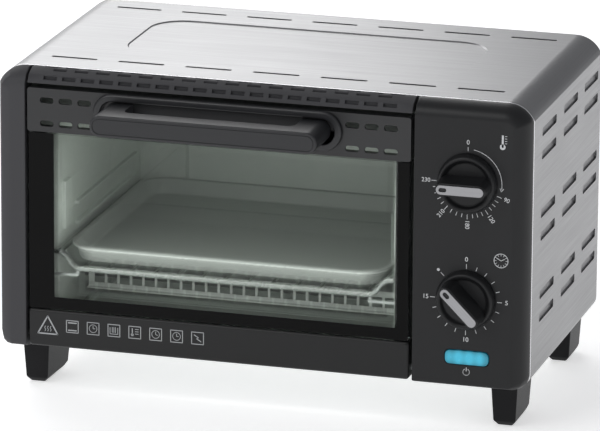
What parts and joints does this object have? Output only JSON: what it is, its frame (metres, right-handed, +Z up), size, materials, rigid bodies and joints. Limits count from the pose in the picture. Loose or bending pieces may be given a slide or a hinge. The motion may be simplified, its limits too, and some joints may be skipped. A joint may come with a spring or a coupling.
{
  "type": "toaster oven",
  "caption": "Small countertop toaster oven with a brushed steel body, a drop-down glass door with a bar handle, two dials, a wire rack and a tray.",
  "frame": {"origin": "on the table, below the middle of the overall box", "axes": "+X to the oven's right as seen from the front, +Y from the front to the back, +Z up"},
  "size_m": [0.3626, 0.24, 0.223],
  "materials": {
    "brushed_steel": "fine brushing, satin",
    "zinc_sheet": "zinc-coated sheet, dull",
    "heater_steel": "oxidised sheath, dark",
    "satin_black_plastic": "fine moulded texture, satin",
    "charcoal_plastic": "fine moulded texture, satin",
    "door_glass": "tempered, faint green tint, black printed border",
    "tray_enamel": "grey enamel, satin",
    "chromed_wire": "bright plated wire",
    "white_ceramic": "unglazed white ceramic",
    "white_plastic": "moulded, semi-gloss",
    "bell_brass": "pressed, bright",
    "blue_lens": "translucent, lit from behind",
    "wire_sleeve": "braided glass-fibre sleeve"
  },
  "bodies": {
    "body": {"outer_wrapper": "brushed_steel", "back_panel": "zinc_sheet", "base_plate": "zinc_sheet", "front_frame": "zinc_sheet", "left_pillar": "charcoal_plastic", "vent_hood": "charcoal_plastic", "control_panel": "satin_black_plastic", "foot_front_left": "satin_black_plastic", "foot_front_right": "satin_black_plastic", "foot_rear_left": "satin_black_plastic", "foot_rear_right": "satin_black_plastic", "rear_screw_lower_left": "zinc_sheet", "rear_screw_lower_right": "zinc_sheet", "rear_screw_upper_left": "zinc_sheet", "rear_screw_upper_right": "zinc_sheet", "cord_gland": "satin_black_plastic", "cavity_left_wall": "zinc_sheet", "cavity_right_wall": "zinc_sheet", "cavity_back_wall": "zinc_sheet", "cavity_roof": "zinc_sheet", "cavity_floor": "zinc_sheet", "crumb_tray": "zinc_sheet", "lower_heater_guard": "zinc_sheet", "upper_heater_front": "heater_steel", "upper_heater_rear": "heater_steel", "lower_heater_front": "heater_steel", "lower_heater_rear": "heater_steel", "upper_insulator_left": "white_ceramic", "upper_insulator_right": "white_ceramic", "lower_insulator_left": "white_ceramic", "lower_insulator_right": "white_ceramic", "heat_shield": "zinc_sheet", "thermostat_body": "white_ceramic", "timer_body": "white_plastic", "timer_bell": "bell_brass", "indicator_lens": "blue_lens", "indicator_lamp": "white_plastic", "terminal_block": "white_plastic", "thermostat_wire": "wire_sleeve", "heater_wire": "wire_sleeve", "door_spring": "zinc_sheet"},
    "door": {"door_top_band": "charcoal_plastic", "door_glass": "door_glass", "door_lower_panel": "satin_black_plastic", "door_stile_left": "charcoal_plastic", "door_stile_right": "charcoal_plastic", "handle_escutcheon": "charcoal_plastic", "door_handle": "charcoal_plastic", "hinge_pin_left": "zinc_sheet", "hinge_pin_right": "zinc_sheet", "rack_hook_left": "zinc_sheet", "rack_hook_right": "zinc_sheet"},
    "rack": {"wire_rack": "chromed_wire", "baking_tray": "tray_enamel"},
    "thermostat": {"thermostat_knob": "satin_black_plastic", "thermostat_pointer": "brushed_steel", "thermostat_shaft": "zinc_sheet"},
    "timer": {"timer_knob": "satin_black_plastic", "timer_pointer": "brushed_steel", "timer_shaft": "zinc_sheet"}
  },
  "joints": [
    {"name": "door_hinge", "type": "hinge", "parent": "body", "child": "door", "pos_m": [-0.0278, -0.0775, 0.041], "axis": [1, 0, 0], "range_deg": [0, 85], "stiffness_Nm_per_rad": 0.12, "springref_deg": -40.11},
    {"name": "rack_slide", "type": "slide", "parent": "body", "child": "rack", "axis": [0, -1, 0], "range_m": [0, 0.07]},
    {"name": "thermostat_turn", "type": "hinge", "parent": "body", "child": "thermostat", "pos_m": [0.14135, -0.086, 0.1713], "axis": [0, 1, 0], "range_deg": [-270, 0]},
    {"name": "timer_turn", "type": "hinge", "parent": "body", "child": "timer", "pos_m": [0.14135, -0.086, 0.0926], "axis": [0, 1, 0], "range_deg": [0, 315]}
  ],
  "couplings": [
    {"joint": "rack_slide", "follows": "door_hinge", "m_per_rad": 0.047}
  ]
}
